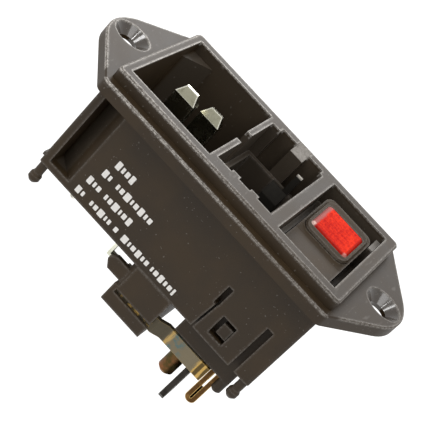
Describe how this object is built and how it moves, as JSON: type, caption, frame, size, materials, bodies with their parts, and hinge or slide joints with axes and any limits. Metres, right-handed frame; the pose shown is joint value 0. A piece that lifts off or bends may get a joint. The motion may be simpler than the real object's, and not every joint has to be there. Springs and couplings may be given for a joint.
{
  "type": "c14 panel inlet socket",
  "caption": "Screw-fixed panel power inlet with a recessed earthed inlet, an open fuse drawer bay and an illuminated rocker switch in one moulded housing.",
  "frame": {"origin": "midway between the two screw holes, on the plane where the flange seats on the panel", "axes": "+X from the inlet to the switch along the line of the screw holes, +Y across, +Z out of the panel"},
  "size_m": [0.0636, 0.032, 0.0365],
  "materials": {
    "black_plastic": "fine moulded grain, worn paler along the edges",
    "red_lens": "clear red, polished",
    "lamp_glass": "clear",
    "resistor_body": "lacquered ceramic",
    "nickel": "nickel plate, satin",
    "brass": "stamped strip, dull",
    "tinned_brass": "tin plate, dull",
    "blackened_brass": "blackened strip",
    "copper": "bare copper, dull",
    "silver": "silver alloy",
    "steel": "drawn wire and turned pin"
  },
  "bodies": {
    "inlet_body": {"housing": "black_plastic", "fuse_holder": "black_plastic", "switch_base": "black_plastic", "earth_pin": "nickel", "line_pin": "nickel", "neutral_pin": "nickel", "line_link": "brass", "neutral_link": "brass", "line_busbar": "tinned_brass", "neutral_busbar": "tinned_brass", "line_fuse_contact": "nickel", "neutral_fuse_contact": "nickel", "line_folded_terminal": "brass", "neutral_stud_terminal": "copper", "lamp_terminal": "blackened_brass", "line_middle_terminal": "brass", "neutral_middle_terminal": "brass", "line_fixed_contact": "silver", "neutral_fixed_contact": "silver"},
    "rocker": {"rocker": "black_plastic", "rocker_lens": "red_lens", "lamp": "lamp_glass", "lamp_resistor": "resistor_body"},
    "line_plunger": {"line_plunger": "steel", "line_plunger_spring": "steel"},
    "line_arm": {"line_contact_arm": "brass", "line_moving_contact": "silver"},
    "neutral_plunger": {"neutral_plunger": "steel", "neutral_plunger_spring": "steel"},
    "neutral_arm": {"neutral_contact_arm": "brass", "neutral_moving_contact": "silver"}
  },
  "joints": [
    {"name": "rocker_tilt", "type": "hinge", "parent": "inlet_body", "child": "rocker", "pos_m": [0.0152, 0, -0.0044], "axis": [1, 0, 0], "range_deg": [-13, 0]},
    {"name": "line_arm_rock", "type": "hinge", "parent": "inlet_body", "child": "line_arm", "pos_m": [0.01795, 0, -0.01215], "axis": [1, 0, 0], "range_deg": [0, 13]},
    {"name": "neutral_arm_rock", "type": "hinge", "parent": "inlet_body", "child": "neutral_arm", "pos_m": [0.01245, 0, -0.01215], "axis": [1, 0, 0], "range_deg": [0, 13]},
    {"name": "line_plunger_slide", "type": "slide", "parent": "rocker", "child": "line_plunger", "axis": [0, -0.1132, 0.9936], "range_m": [0, 0.0008], "stiffness_N_per_m": 400, "springref_m": -0.001, "deforming": ["line_plunger_spring"]},
    {"name": "neutral_plunger_slide", "type": "slide", "parent": "rocker", "child": "neutral_plunger", "axis": [0, -0.1132, 0.9936], "range_m": [0, 0.0008], "stiffness_N_per_m": 400, "springref_m": -0.001, "deforming": ["neutral_plunger_spring"]}
  ],
  "couplings": [
    {"joint": "line_arm_rock", "follows": "rocker_tilt", "ratio": -1},
    {"joint": "neutral_arm_rock", "follows": "rocker_tilt", "ratio": -1}
  ]
}
